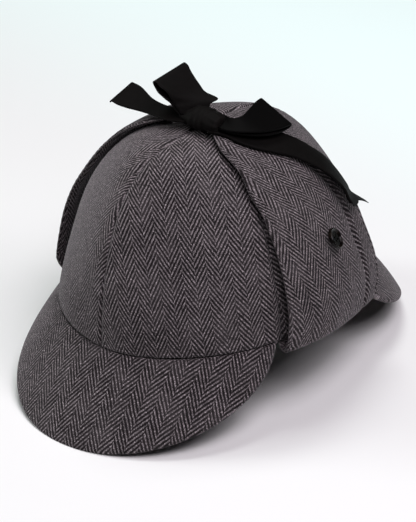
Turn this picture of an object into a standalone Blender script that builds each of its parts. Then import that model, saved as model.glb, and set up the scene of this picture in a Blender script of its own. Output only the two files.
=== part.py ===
"""A deerstalker hat standing on its two peaks, its ear flaps turned up and tied in a bow on top.

Sizes are millimetres in the tables and become metres when a mesh is made. The hat faces -Y,
the wearer's left is +X, +Z is up and z = 0 is the surface that the peaks stand on. Angles
round the hat are degrees from the forehead towards the wearer's left. A climb of 0 degrees is
the hem of the crown and 90 degrees is its top.
"""

import math
from functools import partial

import bmesh
import bpy
from mathutils import Vector

MM = 0.001

# Cloth
CLOTH = 2.0          # the crown: tweed on a stiff backing
BOARD = 3.0          # a peak: board covered in tweed on both sides
FLAP = 3.2           # an ear flap: two layers of tweed with wadding between them
RIBBON = 1.2
GAP = 0.3            # left between pieces that are sewn or lie together
REST = 0.5           # cloth that comes this close to the surface lies flat on it

# The pieces are drawn round the middle of the hem, and the origin is put under the middle of
# the whole hat: its right flap stands off further than its left, its front peak is the longer
MIDDLE_X = -2.6
MIDDLE_Y = -5.4

# The hem, an oval on the wearer's head, and the crown above it
HEM_HEIGHT = 42.7    # mean height of the hem above the surface
HEM_TILT = 4.3       # the forehead sits this much above the mean and the nape below it
HEM_SADDLE = -2.8    # the sides sit this much above the mean, and the front and back below
CROWN_HEIGHT = 104.2  # from the mean hem to the top
TOP_FORWARD = 8.8    # the top is this far in front of the hem's middle
GORE_HOLLOW = 0.069  # a gore's middle is flatter than its seams by this share of the radius
GORE_WIDTH = 60      # degrees across a gore that is hollowed by just that share
SEAM_SOFTNESS = 0.25  # how broadly the hollow rounds over a seam
TOP_HOLE = 0.011     # the gores' points stop at this share of the radius
CLIMB_POWER = 0.8    # share of the radius at a climb is its cosine to this power

# How the crown rises from the hem: reach from the hat's axis to the hem, how square its
# shoulder is, how fast it rises there, and how much its wall leans in
FACINGS = {
    "front": {"reach": 105.3, "shoulder": 3.96, "rise": 1.84, "lean": 0.021},
    "side": {"reach": 81.3, "shoulder": 2.22, "rise": 2.07, "lean": 0.0315},
    "back": {"reach": 104.7, "shoulder": 2.74, "rise": 1.87, "lean": 0.042},
}

# Seams between the six gores: name of the gore, first seam, last seam, faces across
GORES = (
    ("gore_front_left", 0, 68, 10),
    ("gore_side_left", 68, 112, 6),
    ("gore_back_left", 112, 180, 10),
    ("gore_back_right", 180, 248, 10),
    ("gore_side_right", 248, 292, 6),
    ("gore_front_right", 292, 360, 10),
)
GORE_EVEN_ROWS = 9   # even rows up to the shoulder, then closer ones to the point
GORE_SHOULDER = 76.0
GORE_LAST_ROWS = (80.0, 84.5, 87.5, 89.0)

# Peaks: name, angle of the middle, which way it points along y, length at the middle, and
# degrees that it falls
PEAKS = (
    ("front_peak", 0, -1, 56.7, 50.4),
    ("back_peak", 180, 1, 43.5, 53.5),
)
PEAK_HALF_ANGLE = 65.2
PEAK_POWER = 0.509   # how full the outline is, half an ellipse at 0.5
PEAK_SIDEWAYS = 0.55  # how far the board fans out to the sides
PEAK_TURN = 0.6      # how much its corners turn away from straight ahead
PEAK_RIM = 1.0       # what is left of the peak at its corners
PEAK_BULGE = 1.2     # the board's bow along its fall
PEAK_SEAT = 0.13     # share of its rows that lies under the crown's cloth
PEAK_SEATED = 0.9    # how far it reaches in under that cloth
PEAK_ROWS = 5
PEAK_COLUMNS = 18
PEAK_CORNERS = (0.004, 0.02, 0.05)   # closer columns where the outline turns sharply

# Ear flaps: the edges by climb, the stand-off of the outer face from the crown's ridges, and
# how much further the band along the rear edge flares out
FLAP_EDGES = (
    # climb, front, rear
    (0, 66.9, 113.8),
    (3, 67.4, 117.2),
    (9, 68.3, 119.5),
    (22, 68.4, 118.4),
    (30, 68.0, 119.5),
    (37, 67.3, 120.5),
    (44, 66.2, 119.5),
    (52, 63.2, 117.0),
    (61, 61.0, 113.5),
    (69, 53.5, 110.5),
    (76, 48.5, 107.0),
    (82, 43.0, 104.0),
)
STAND_OFF = {
    # climb, at the front edge, before the rear band, flare of the rear band
    "left": (
        (0, 8.0, 4.2, 1.0),
        (14, 8.0, 4.1, 1.6),
        (24, 7.1, 4.0, 1.7),
        (34, 6.0, 4.0, 1.7),
        (48, 5.0, 4.1, 0.9),
        (60, 4.7, 4.2, 0.0),
        (82, 4.3, 4.2, 0.0),
    ),
    "right": (
        (0, 14.0, 8.4, 1.0),
        (12, 12.9, 7.6, 1.6),
        (24, 10.6, 5.9, 1.7),
        (36, 7.2, 4.5, 1.7),
        (48, 5.4, 4.4, 0.9),
        (60, 5.0, 4.5, 0.0),
        (82, 4.7, 4.5, 0.0),
    ),
}
SETTLING = (0.2, 0.8)   # shares of the width between which the front stand-off gives way
REAR_BAND = 0.15        # share of the width in the rear band
FLAP_TIP = {"left": 78.5, "right": 79.5}   # climb of the flap's end
FOLD_DROP = 3.4      # how far the turned-up fold hangs under the hem
FOLD_SHARE = 0.12    # share of the flap's length in the fold
FOLD_ROWS = 6
FLAP_COLUMNS = 14
FLAP_ROWS = 16
FLAP_ROUNDING = 0.02    # share of the flap's width or length in its rounded edge
EDGE_THICKNESS = 0.5    # share of the thickness that is left at a rounded edge

# Ribbon pieces: the middle of the ribbon, the way its width runs, and its width
LOOP_UP = (
    # x, y, z, width x, width y, width z, width
    (0.2, -23.5, 160.6, 0.64, 0.77, 0.02, 16.0),
    (-1.2, -22.8, 163.6, 0.61, 0.79, 0.01, 22.0),
    (-4.8, -22.0, 165.8, 0.36, 0.93, -0.08, 23.7),
    (-8.8, -21.2, 168.3, 0.19, 0.97, -0.11, 25.2),
    (-13.9, -20.9, 171.2, 0.12, 0.99, -0.02, 25.5),
    (-18.9, -20.9, 174.1, 0.06, 0.99, 0.09, 25.4),
    (-21.1, -20.9, 173.7, 0.03, 0.99, 0.12, 25.4),
    (-19.9, -21.0, 171.2, 0.02, 0.99, 0.10, 25.1),
    (-15.5, -21.2, 168.2, 0.08, 0.99, 0.08, 23.6),
    (-11.2, -21.5, 165.4, 0.14, 0.98, 0.06, 21.3),
    (-7.9, -22.0, 162.6, 0.20, 0.98, 0.05, 17.8),
    (-5.6, -22.6, 159.2, 0.30, 0.95, 0.06, 13.4),
)
LOOP_BACK = (
    # x, y, z, width x, width y, width z, width
    (15.7, -21.3, 155.2, 0.40, -0.89, -0.22, 11.0),
    (19.0, -21.3, 155.6, 0.66, -0.70, -0.26, 13.4),
    (24.9, -20.9, 155.7, 0.79, -0.45, -0.42, 10.6),
    (29.0, -17.4, 155.5, 0.86, -0.22, -0.46, 10.8),
    (30.5, -11.9, 155.0, 0.89, -0.17, -0.42, 13.9),
    (30.0, -4.0, 154.1, 0.91, -0.17, -0.39, 18.6),
    (28.5, 6.0, 152.9, 0.93, -0.13, -0.35, 23.0),
    (27.4, 13.6, 152.0, 0.93, -0.07, -0.36, 24.3),
    (26.9, 15.0, 150.9, 0.93, -0.06, -0.36, 24.3),
    (27.4, 10.9, 150.1, 0.93, -0.08, -0.35, 24.4),
    (28.7, 1.5, 150.2, 0.94, -0.08, -0.34, 22.4),
    (29.0, -7.5, 150.9, 0.93, -0.12, -0.34, 18.1),
    (27.2, -15.0, 151.9, 0.90, -0.26, -0.34, 13.4),
    (22.6, -19.6, 152.9, 0.78, -0.56, -0.26, 12.4),
    (16.2, -21.6, 152.9, 0.45, -0.88, -0.14, 10.0),
)
TAIL_SHORT = (
    # x, y, z, width x, width y, width z, width
    (-5.1, -25.6, 154.2, -0.12, 0.96, 0.24, 11.0),
    (-13.3, -29.4, 154.0, -0.36, 0.88, 0.31, 11.1),
    (-22.6, -28.9, 153.7, -0.10, 0.92, 0.36, 9.8),
    (-33.8, -26.9, 153.3, -0.08, 0.96, 0.26, 13.2),
    (-45.4, -23.9, 153.0, -0.25, 0.96, 0.12, 20.4),
    (-53.0, -23.2, 153.0, -0.32, 0.94, 0.08, 26.0),
)
# The long tail lies over the left flap and its rear edge: where its two edges run, and how far
# they stand off from the crown's ridges
TAIL_LONG = (
    # near angle, near climb, near out, far angle, far climb, far out
    (57.8, 76.0, 5.2, 76.0, 80.6, 5.2),
    (67.6, 72.1, 5.4, 96.0, 77.2, 5.1),
    (77.4, 68.5, 5.7, 105.8, 73.6, 4.9),
    (87.7, 64.4, 6.2, 110.9, 68.7, 4.7),
    (96.9, 59.4, 6.9, 114.6, 62.4, 4.7),
    (102.1, 52.9, 8.6, 116.6, 56.7, 4.9),
    (103.8, 48.2, 10.8, 118.1, 51.4, 5.3),
    (105.0, 43.2, 12.2, 117.2, 45.7, 5.9),
    (105.8, 40.1, 12.4, 115.8, 39.5, 6.6),
    (106.0, 36.6, 11.6, 115.2, 35.6, 7.2),
    (107.3, 33.4, 10.4, 125.8, 26.1, 8.2),
)
NOTCH = 0.045        # depth of the swallowtail cut, as a share of the tail's length
KNOT_PLACE = (5.0, -23.0, 153.8)
KNOT_RADII = (9.8, 8.8, 6.6)
KNOT_SQUARENESS = 2.6
KNOT_SIDES = 18
KNOT_RINGS = 10
RIBBON_COLUMNS = 4
LOOP_ROWS = 22
TAIL_ROWS = 12

# Buttons on the flaps
BUTTON_ANGLE = 92.8
BUTTON_CLIMB = 27.6
BUTTON_LEAN = 14.0   # degrees that it leans towards the rear and the top on its thread
BUTTON_THICK = 2.6
BUTTON_BACK = 5.3    # radius of its flat back
BUTTON_SECTION = (
    # radius, height: from the back's middle round the rim to the middle of the dish
    (0, 0),
    (BUTTON_BACK, 0),
    (6.35, 1.0),
    (6.1, 2.2),
    (5.6, BUTTON_THICK),
    (4.9, 2.3),
    (4.2, 1.7),
    (0, 1.7),
)
BUTTON_HOLE_RADIUS = 0.8
BUTTON_HOLE_PITCH = 1.5  # from the button's middle to each of its four holes
BUTTON_SIDES = 20

COLOURS = {
    # red, green, blue, roughness
    "tweed": (0.115, 0.105, 0.110, 0.92),
    "ribbon": (0.012, 0.011, 0.012, 0.55),
    "button": (0.020, 0.014, 0.011, 0.25),
}


def clear_scene():
    for thing in list(bpy.data.objects):
        bpy.data.objects.remove(thing, do_unlink=True)


def mix(start, end, share):
    return start + (end - start) * share


def along(rows, column, place):
    """Value of a column of a table at a place given by its first column, on a smooth curve."""
    last = len(rows) - 1
    place = min(max(place, rows[0][0]), rows[-1][0])
    i = max(k for k in range(last) if rows[k][0] <= place)

    def slope(k):
        before, after = rows[max(k - 1, 0)], rows[min(k + 1, last)]
        return (after[column] - before[column]) / (after[0] - before[0])

    step = rows[i + 1][0] - rows[i][0]
    t = (place - rows[i][0]) / step
    return (
        (2 * t**3 - 3 * t**2 + 1) * rows[i][column]
        + (t**3 - 2 * t**2 + t) * step * slope(i)
        + (3 * t**2 - 2 * t**3) * rows[i + 1][column]
        + (t**3 - t**2) * step * slope(i + 1)
    )


def facing(angle, value):
    """A crown value by facing, from the front, side and back columns."""
    toward = math.cos(math.radians(angle))
    end = FACINGS["front" if toward > 0 else "back"][value]
    return mix(FACINGS["side"][value], end, toward**2)


def hem(angle):
    turn = math.radians(angle)
    end = FACINGS["front" if math.cos(turn) > 0 else "back"]["reach"]
    return Vector((
        FACINGS["side"]["reach"] * math.sin(turn),
        -end * math.cos(turn),
        HEM_HEIGHT + HEM_TILT * math.cos(turn) + HEM_SADDLE * math.cos(2 * turn),
    ))


def hollow(angle, under_flap):
    """How far a place is from its gore's seams, 0 on a seam and about 1 in the middle."""
    angle %= 360
    for name, start, end, _ in GORES:
        if start <= angle <= end:
            if under_flap and "side" in name:
                return 0.0
            wave = math.sin(math.pi * (angle - start) / (end - start))
            rounded = math.hypot(wave, SEAM_SOFTNESS) - SEAM_SOFTNESS
            full = math.hypot(1, SEAM_SOFTNESS) - SEAM_SOFTNESS
            return rounded / full * (end - start) / GORE_WIDTH


def crown_face(angle, climb, under_flap):
    share = max(math.cos(math.radians(climb)), 0.0) ** CLIMB_POWER
    height = max(1 - share ** facing(angle, "shoulder"), 0.0) ** (1 / facing(angle, "rise"))
    toward = math.cos(math.radians(angle))
    lean = mix(FACINGS["back"]["lean"], FACINGS["front"]["lean"], (1 + toward) / 2)
    radius = share * (1 - lean * (1 - (1 - height) ** 3))
    radius *= 1 - GORE_HOLLOW * hollow(angle, under_flap) * math.sin(height * math.pi / 2)
    base = hem(angle)
    return Vector((
        base.x * radius,
        base.y * radius - TOP_FORWARD * height,
        mix(base.z, HEM_HEIGHT + CROWN_HEIGHT, height),
    ))


def crown(angle, climb, out=0.0, under_flap=False):
    """A point of the crown's outer face, or one that stands out from it."""
    step = 0.1
    low = max(climb - step, 0.0)
    round_the_hat = crown_face(angle + step, climb, under_flap) - crown_face(angle - step, climb, under_flap)
    up_the_crown = crown_face(angle, climb + step, under_flap) - crown_face(angle, low, under_flap)
    outward = round_the_hat.cross(up_the_crown).normalized()
    return crown_face(angle, climb, under_flap) + outward * out


def material(name, kind):
    made = bpy.data.materials.new(f"{name}_{kind}")
    red, green, blue, roughness = COLOURS[kind]
    made.use_nodes = True
    shader = made.node_tree.nodes["Principled BSDF"]
    shader.inputs["Base Color"].default_value = (red, green, blue, 1)
    shader.inputs["Roughness"].default_value = roughness
    return made


def add_object(name, bm, kind):
    bmesh.ops.recalc_face_normals(bm, faces=bm.faces)
    if bm.calc_volume(signed=True) < 0:
        bmesh.ops.reverse_faces(bm, faces=bm.faces)
    mesh = bpy.data.meshes.new(name)
    bm.to_mesh(mesh)
    bm.free()
    mesh.shade_smooth()
    mesh.set_sharp_from_angle(angle=math.radians(40))
    mesh.materials.append(material(name, kind))
    made = bpy.data.objects.new(name, mesh)
    bpy.context.scene.collection.objects.link(made)
    return made


def sheet(name, columns, rows, place, kind):
    """A closed sheet: a slab of columns by rows whose two faces are set by place(a, b, side).

    columns and rows are stations from 0 to 1, and side is 0 underneath and 1 on the face."""
    bm = bmesh.new()
    bmesh.ops.create_grid(bm, x_segments=len(columns) - 1, y_segments=len(rows) - 1, size=1)
    face = bmesh.ops.extrude_face_region(bm, geom=bm.faces[:])["geom"]
    top = {item for item in face if isinstance(item, bmesh.types.BMVert)}
    for corner in bm.verts:
        column = round((corner.co.x + 1) / 2 * (len(columns) - 1))
        row = round((corner.co.y + 1) / 2 * (len(rows) - 1))
        corner.co = place(columns[column], rows[row], 1 if corner in top else 0) * MM
    return add_object(name, bm, kind)


def stations(count):
    """Even stations from 0 to 1."""
    return [k / count for k in range(count + 1)]


def add_gore(name, start, end, count):
    point_climb = math.degrees(math.acos(TOP_HOLE ** (1 / CLIMB_POWER)))
    even_rows = [GORE_SHOULDER * share for share in stations(GORE_EVEN_ROWS)]
    climbs = [*even_rows, *GORE_LAST_ROWS, point_climb]
    rows = stations(len(climbs) - 1)

    def place(a, b, side):
        climb = climbs[rows.index(b)]
        middle = crown_face((start + end) / 2, climb, False)
        top = crown_face(0, 90, False)
        radius = (middle.xy - top.xy * min(climb / GORE_SHOULDER, 1)).length
        inset = math.degrees(GAP / 2 / radius)
        return crown(mix(start + inset, end - inset, a), climb, 0 if side else -CLOTH)

    return sheet(name, stations(count), rows, place, "tweed")


def add_peak(name, middle, forward, length, fall):
    """A peak: its inner edge lies under the crown's cloth, and it fans out and falls from there."""
    slope = math.radians(fall)

    def place(a, b, side):
        across = 2 * a - 1
        turn = math.radians(across * PEAK_HALF_ANGLE)
        angle = middle + across * PEAK_HALF_ANGLE
        ahead = Vector((
            -forward * PEAK_SIDEWAYS * math.sin(turn), forward * math.cos(PEAK_TURN * turn), 0,
        )).normalized()
        down = ahead * math.cos(slope) - Vector((0, 0, math.sin(slope)))
        rise = ahead * math.sin(slope) + Vector((0, 0, math.cos(slope)))
        reach = max(length * (1 - across**2) ** PEAK_POWER, PEAK_RIM)
        inward = (crown(angle, 0, -CLOTH) - hem(angle)) * PEAK_SEATED
        seated = min(b / PEAK_SEAT, 1)
        run = max(b - PEAK_SEAT, 0) / (1 - PEAK_SEAT)
        point = hem(angle) + inward * (1 - seated) - Vector((0, 0, GAP)) + down * reach * run
        point += rise * PEAK_BULGE * 4 * run * (1 - run) * reach / length
        if side == 0:
            point -= rise * BOARD * (EDGE_THICKNESS if b == 1 else 1)
        if point.z < REST:
            point.z = 0
        return point

    corner = PEAK_CORNERS[-1]
    even = [mix(corner, 1 - corner, share) for share in stations(PEAK_COLUMNS)[1:-1]]
    columns = [0, *PEAK_CORNERS, *even, *(1 - share for share in reversed(PEAK_CORNERS)), 1]
    falling = [mix(PEAK_SEAT, 1, share) for share in stations(PEAK_ROWS)[:-1]]
    rim = 1 - BOARD * EDGE_THICKNESS / length
    return sheet(name, columns, [0, *falling, rim, 1], place, "tweed")


def flap_middle(side, a, b):
    """A point halfway through a flap's cloth, drawn on the wearer's left."""
    climb = max(b - FOLD_SHARE, 0) / (1 - FOLD_SHARE) * FLAP_TIP[side]
    angle = mix(along(FLAP_EDGES, 1, climb), along(FLAP_EDGES, 2, climb), a)
    front, rear, flare = (along(STAND_OFF[side], column, climb) for column in (1, 2, 3))
    settled = min(max((a - SETTLING[0]) / (SETTLING[1] - SETTLING[0]), 0), 1)
    out = mix(front, rear, settled**2 * (3 - 2 * settled)) - FLAP / 2
    out += flare * max(a - 1 + REAR_BAND, 0) / REAR_BAND
    if b >= FOLD_SHARE:
        return crown(angle, climb, out, under_flap=True)
    # the fold: half a turn from under the crown's cloth out to the face
    turn = math.pi * b / FOLD_SHARE
    half = (out + CLOTH / 2) / 2
    point = crown(angle, 0, out - half - half * math.cos(turn), under_flap=True)
    return point - Vector((0, 0, 2 * GAP + FOLD_DROP * math.sin(turn)))


def flap_face(side, a, b, face):
    """A point on a flap: face is 1 outside and 0 on the side that lies on the crown."""
    step = 0.004
    over = flap_middle(side, min(a + step, 1), b) - flap_middle(side, max(a - step, 0), b)
    up = flap_middle(side, a, min(b + step, 1)) - flap_middle(side, a, max(b - step, 0))
    outward = over.cross(up).normalized()
    thick = FLAP * (EDGE_THICKNESS if a in (0, 1) or b == 1 else 1)
    point = flap_middle(side, a, b) + outward * thick * (face - 0.5)
    return Vector((point.x if side == "left" else -point.x, point.y, point.z))


def add_flap(side):
    columns = stations(FLAP_COLUMNS)
    columns = [0, FLAP_ROUNDING, *columns[1:-1], 1 - FLAP_ROUNDING, 1]
    fold_rows = [FOLD_SHARE * share for share in stations(FOLD_ROWS)[:-1]]
    climbing = [mix(FOLD_SHARE, 1, share) for share in stations(FLAP_ROWS)[:-1]]
    rows = [*fold_rows, *climbing, 1 - FLAP_ROUNDING, 1]
    return sheet(f"ear_flap_{side}", columns, rows, partial(flap_face, side), "tweed")


def smooth_row(rows, place):
    """A row of a table at a place from 0 to 1 along it, on a curve through its rows."""
    numbered = [(k, *row) for k, row in enumerate(rows)]
    where = place * (len(rows) - 1)
    return [along(numbered, column, where) for column in range(1, len(numbered[0]))]


def add_ribbon(name, rows, count):
    """A ribbon through rows of middle, width direction and width."""
    step = 0.01

    def middle(b):
        return Vector(smooth_row(rows, min(max(b, 0), 1))[:3])

    def place(a, b, side):
        row = smooth_row(rows, b)
        ahead = middle(b + step) - middle(b - step)
        wide = Vector(row[3:6]).normalized()
        outward = wide.cross(ahead).normalized()
        return middle(b) + wide * row[6] * (a - 0.5) + outward * RIBBON * (side - 0.5)

    return sheet(name, stations(RIBBON_COLUMNS), stations(count), place, "ribbon")


def add_long_tail():
    """The tail that lies over the left flap and ends in a swallowtail cut."""

    def place(a, b, side):
        b *= 1 - NOTCH * (1 - abs(2 * a - 1))
        near_angle, near_climb, near_out, far_angle, far_climb, far_out = smooth_row(TAIL_LONG, b)
        out = mix(near_out, far_out, a) + RIBBON * side
        return crown(mix(near_angle, far_angle, a), mix(near_climb, far_climb, a), out, under_flap=True)

    return sheet("ribbon_tail_long", stations(RIBBON_COLUMNS), stations(LOOP_ROWS), place, "ribbon")


def add_knot():
    bm = bmesh.new()
    bmesh.ops.create_uvsphere(bm, u_segments=KNOT_SIDES, v_segments=KNOT_RINGS, radius=1)
    for corner in bm.verts:
        power = 2 / KNOT_SQUARENESS
        spot = [math.copysign(abs(part) ** power, part) for part in corner.co]
        corner.co = Vector(part * size * MM for part, size in zip(spot, KNOT_RADII))
    knot = add_object("bow_knot", bm, "ribbon")
    knot.location = Vector(KNOT_PLACE) * MM
    return knot


def add_button(side):
    """A turned button with four sewing holes, leaning on its flap."""
    bm = bmesh.new()
    line = [bm.verts.new((radius * MM, 0, height * MM)) for radius, height in BUTTON_SECTION]
    edges = [bm.edges.new(pair) for pair in zip(line, line[1:])]
    bmesh.ops.spin(
        bm, geom=line + edges, axis=(0, 0, 1), cent=(0, 0, 0), angle=2 * math.pi, steps=BUTTON_SIDES
    )
    bmesh.ops.remove_doubles(bm, verts=bm.verts, dist=1e-6)
    button = add_object(f"flap_button_{side}", bm, "button")

    for quarter in range(4):
        turn = math.radians(45 + 90 * quarter)
        drill_mesh = bmesh.new()
        bmesh.ops.create_cone(
            drill_mesh, cap_ends=True, segments=8, radius1=BUTTON_HOLE_RADIUS * MM,
            radius2=BUTTON_HOLE_RADIUS * MM, depth=3 * BUTTON_THICK * MM,
        )
        drill = add_object(f"drill_{side}_{quarter}", drill_mesh, "button")
        drill.parent = button
        drill.location = (
            BUTTON_HOLE_PITCH * MM * math.cos(turn), BUTTON_HOLE_PITCH * MM * math.sin(turn), 0,
        )
        drill.hide_render = True
        drill.display_type = "WIRE"
        cut = button.modifiers.new(f"hole {quarter}", "BOOLEAN")
        cut.operation = "DIFFERENCE"
        cut.object = drill

    # the rim of its back meets the flap's outer face on the side that it leans to
    front, rear = along(FLAP_EDGES, 1, BUTTON_CLIMB), along(FLAP_EDGES, 2, BUTTON_CLIMB)
    across = (BUTTON_ANGLE - front) / (rear - front)
    up = mix(FOLD_SHARE, 1, BUTTON_CLIMB / FLAP_TIP[side])
    step = 0.01
    face = flap_face(side, across, up, 1)
    outward = (face - flap_face(side, across, up, 0)).normalized()
    to_rear = (flap_face(side, across + step, up, 1) - face).normalized()
    to_top = (flap_face(side, across, up + step, 1) - face).normalized()
    lean = math.radians(BUTTON_LEAN)
    facing_way = outward * math.cos(lean) + (to_rear + to_top).normalized() * math.sin(lean)
    button.location = (face + outward * (GAP + BUTTON_BACK * math.sin(lean))) * MM
    button.rotation_euler = facing_way.to_track_quat("Z", "Y").to_euler()
    return button


def main():
    clear_scene()
    pieces = [add_gore(*gore) for gore in GORES]
    pieces += [add_peak(*peak) for peak in PEAKS]
    pieces += [add(side) for side in ("left", "right") for add in (add_flap, add_button)]
    pieces += [
        add_knot(),
        add_ribbon("bow_loop_up", LOOP_UP, LOOP_ROWS),
        add_ribbon("bow_loop_back", LOOP_BACK, LOOP_ROWS),
        add_ribbon("ribbon_tail_short", TAIL_SHORT, TAIL_ROWS),
        add_long_tail(),
    ]
    hat = bpy.data.objects.new("hat", None)
    hat.location = (-MIDDLE_X * MM, -MIDDLE_Y * MM, 0)
    bpy.context.scene.collection.objects.link(hat)
    for piece in pieces:
        piece.parent = hat


main()
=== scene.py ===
"""Looks of a tweed deerstalker: gored crown, two peaks, turned-up ear flaps and a ribbon bow.

Sizes are millimetres and degrees where nothing else is said, and MM takes millimetres to
metres. The hat faces -Y and the wearer's left is +X. Angles round the hat start at the
forehead and grow towards the wearer's left. A climb of 0 degrees is the crown's hem and 90
is its top.
"""

import math

import bpy
import numpy as np
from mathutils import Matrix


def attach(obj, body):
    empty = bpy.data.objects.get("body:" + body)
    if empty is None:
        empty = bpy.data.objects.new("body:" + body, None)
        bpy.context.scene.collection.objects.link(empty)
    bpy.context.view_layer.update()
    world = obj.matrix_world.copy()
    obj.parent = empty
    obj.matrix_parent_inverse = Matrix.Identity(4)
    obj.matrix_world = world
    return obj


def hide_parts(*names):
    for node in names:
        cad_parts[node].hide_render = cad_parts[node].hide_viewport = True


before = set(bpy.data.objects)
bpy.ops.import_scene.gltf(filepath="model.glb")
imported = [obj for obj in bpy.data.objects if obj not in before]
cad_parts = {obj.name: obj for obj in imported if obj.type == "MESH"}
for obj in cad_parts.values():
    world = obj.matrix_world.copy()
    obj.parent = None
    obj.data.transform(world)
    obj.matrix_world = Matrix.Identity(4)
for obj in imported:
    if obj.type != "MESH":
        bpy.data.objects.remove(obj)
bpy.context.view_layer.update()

# ---------------------------------------------------------------------------------------------
# The crown's cloth, which the peaks and flaps share: herringbone tweed, black and grey wool in
# a broken twill whose lines change direction every 7 mm. The yarns are uneven and flecked, and
# a short fuzz catches the light at the edges.

MM = 0.001
TWILL_COLUMN = 7.15      # width of a column of parallel lines
TWILL_ENDS = 12          # lengthwise yarns in a column
TWILL_PITCH = 3.58       # from one line to the next along a column, four crosswise yarns
TWILL_STEEP = 1.53       # rise of a line for each unit across
# how fine each unevenness is, in lumps to the metre
WANDER = 130.0           # lines that stray
QUIVER = 520.0           # lines that tremble
SLUBS = 900.0            # thick and thin lengths of yarn
FLECKS = 1700.0          # pale fibres in a yarn
NEPS = 1150.0            # pale knots of wool
HAIRS = 1300.0           # hairs that stray over the dark yarns
CLOUDS = 38.0            # broad patches that are paler
BLOTCHES = 150.0         # small ones
FELTING = 75.0           # patches whose lines are rubbed together
CRUMPLES = 60.0          # soft unevenness of the surface
YARN_STRETCH = (1.0, 0.35, 1.0)   # lumps in a yarn are longer than they are wide
PAINTED_LIGHT_UP = (0.04, 0.12)  # heights in metres between which painted light from above makes the cloth a little paler
TWEED_DARK = (0.0042, 0.0033, 0.0038, 1)
TWEED_GREY = (0.240, 0.211, 0.222, 1)
TWEED_PALE = (0.50, 0.44, 0.465, 1)


class Wire:
    """A shader socket. Sums on wires add Math nodes, and node() adds any other."""

    def __init__(self, tree, socket=None):
        self.tree = tree
        self.socket = socket

    def node(self, kind, settings=None, inputs=None, output=0):
        made = self.tree.nodes.new(kind)
        for name, value in (settings or {}).items():
            if name == "stops":
                for stop, (place, colour) in zip(made.color_ramp.elements, value):
                    stop.position = place
                    stop.color = colour
            else:
                setattr(made, name, value)
        for name, value in (inputs or {}).items():
            if isinstance(value, Wire):
                self.tree.links.new(value.socket, made.inputs[name])
            else:
                made.inputs[name].default_value = value
        return Wire(self.tree, made.outputs[output])

    def feeds(self, shader, name):
        self.tree.links.new(self.socket, shader.inputs[name])

    def maths(self, operation, *others):
        return self.node("ShaderNodeMath", {"operation": operation}, dict(enumerate(others)))

    def __add__(self, other):
        return self.maths("ADD", self, other)

    def __sub__(self, other):
        return self.maths("SUBTRACT", self, other)

    def __rsub__(self, other):
        return self.maths("SUBTRACT", other, self)

    def __mul__(self, other):
        return self.maths("MULTIPLY", self, other)

    def __truediv__(self, other):
        return self.maths("DIVIDE", self, other)

    __radd__ = __add__
    __rmul__ = __mul__

    def step(self, low, high):
        """0 below low, 1 above high and smooth between them."""
        settings = {"interpolation_type": "SMOOTHSTEP"}
        return self.node("ShaderNodeMapRange", settings, {"Value": self, 1: low, 2: high})

    def noise(self, place, scale, detail=2.0):
        inputs = {"Vector": place, "Scale": scale, "Detail": detail}
        return self.node("ShaderNodeTexNoise", None, inputs)

    def blend(self, first, second):
        """A colour between two, by this wire's share of the second."""
        settings = {"data_type": "RGBA"}
        return self.node("ShaderNodeMix", settings, {0: self, 6: first, 7: second}, 2)


def new_finish(name):
    """A material, a wire to start its maths from, and its Principled shader."""
    finish = bpy.data.materials.new(name)
    finish.use_nodes = True
    shader = finish.node_tree.nodes["Principled BSDF"]
    return finish, Wire(finish.node_tree), shader


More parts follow.
